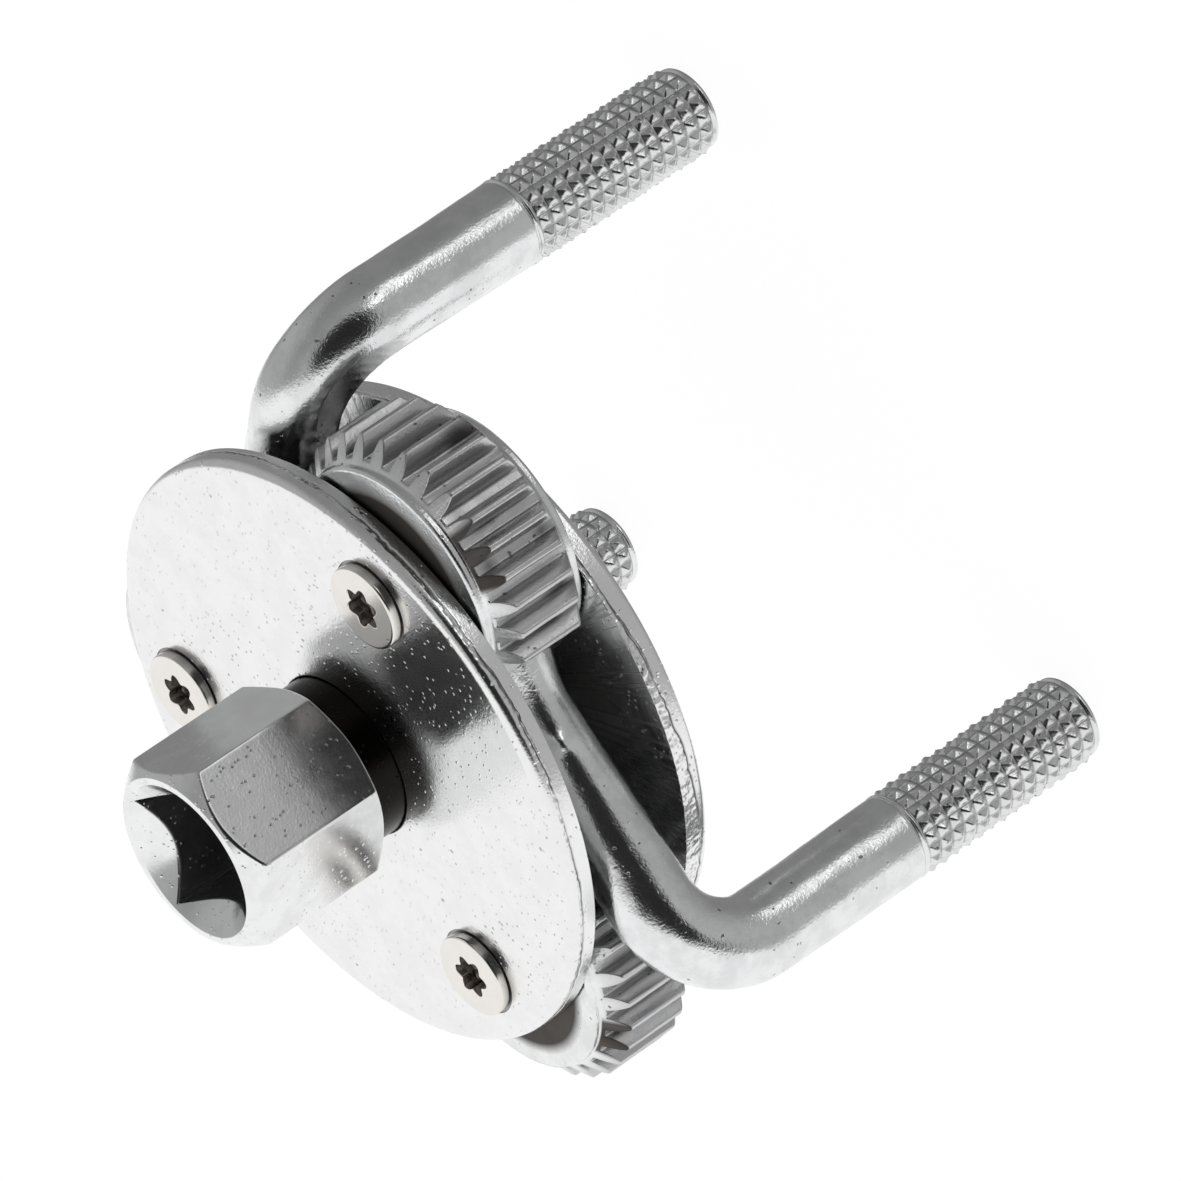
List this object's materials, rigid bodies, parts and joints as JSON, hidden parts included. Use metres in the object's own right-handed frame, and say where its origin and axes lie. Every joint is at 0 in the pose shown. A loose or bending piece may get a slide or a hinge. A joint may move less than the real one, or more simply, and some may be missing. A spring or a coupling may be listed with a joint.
{
  "type": "oil filter wrench",
  "caption": "Geared oil filter wrench: curved fingers hang from gears between two discs and close as the central hexagon with its square socket is turned.",
  "frame": {"origin": "on the drive axis, in the plane of the fingers' free ends", "axes": "+Z along the drive axis towards the hexagon; +X towards the pivot of jaw a"},
  "size_m": [0.0664, 0.0679, 0.0661],
  "materials": {
    "plate_plating": "bright plating over pressed steel, with fine specks",
    "hub_plating": "bright plating over turned and milled steel",
    "jaw_plating": "bright plating over forged steel with a fine grain and small pits",
    "post_steel": "turned steel",
    "screw_nickel": "smooth, slightly warm nickel plating"
  },
  "bodies": {
    "housing": {"front_plate": "plate_plating", "rear_plate": "plate_plating", "pivot_post_a": "post_steel", "pivot_post_b": "post_steel", "pivot_post_c": "post_steel", "front_screw_a": "screw_nickel", "front_screw_b": "screw_nickel", "front_screw_c": "screw_nickel", "rear_screw_a": "screw_nickel", "rear_screw_b": "screw_nickel", "rear_screw_c": "screw_nickel"},
    "drive": {"drive_hub": "hub_plating"},
    "swing_a": {"jaw_a": "jaw_plating"},
    "swing_b": {"jaw_b": "jaw_plating"},
    "swing_c": {"jaw_c": "jaw_plating"}
  },
  "joints": [
    {"name": "drive_spin", "type": "hinge", "parent": "housing", "child": "drive", "pos_m": [0, 0, 0.059], "axis": [0, 0, 1], "range_deg": [-346, 1]},
    {"name": "jaw_a_swing", "type": "hinge", "parent": "housing", "child": "swing_a", "pos_m": [0.0204, 0, 0.04145], "axis": [0, 0, 1], "range_deg": [-0.8, 242.3]},
    {"name": "jaw_b_swing", "type": "hinge", "parent": "housing", "child": "swing_b", "pos_m": [-0.0102, 0.01767, 0.04145], "axis": [0, 0, 1], "range_deg": [-0.8, 242.3]},
    {"name": "jaw_c_swing", "type": "hinge", "parent": "housing", "child": "swing_c", "pos_m": [-0.0102, -0.01767, 0.04145], "axis": [0, 0, 1], "range_deg": [-0.8, 242.3]}
  ],
  "couplings": [
    {"joint": "jaw_a_swing", "follows": "drive_spin", "ratio": -0.7},
    {"joint": "jaw_b_swing", "follows": "drive_spin", "ratio": -0.7},
    {"joint": "jaw_c_swing", "follows": "drive_spin", "ratio": -0.7}
  ]
}
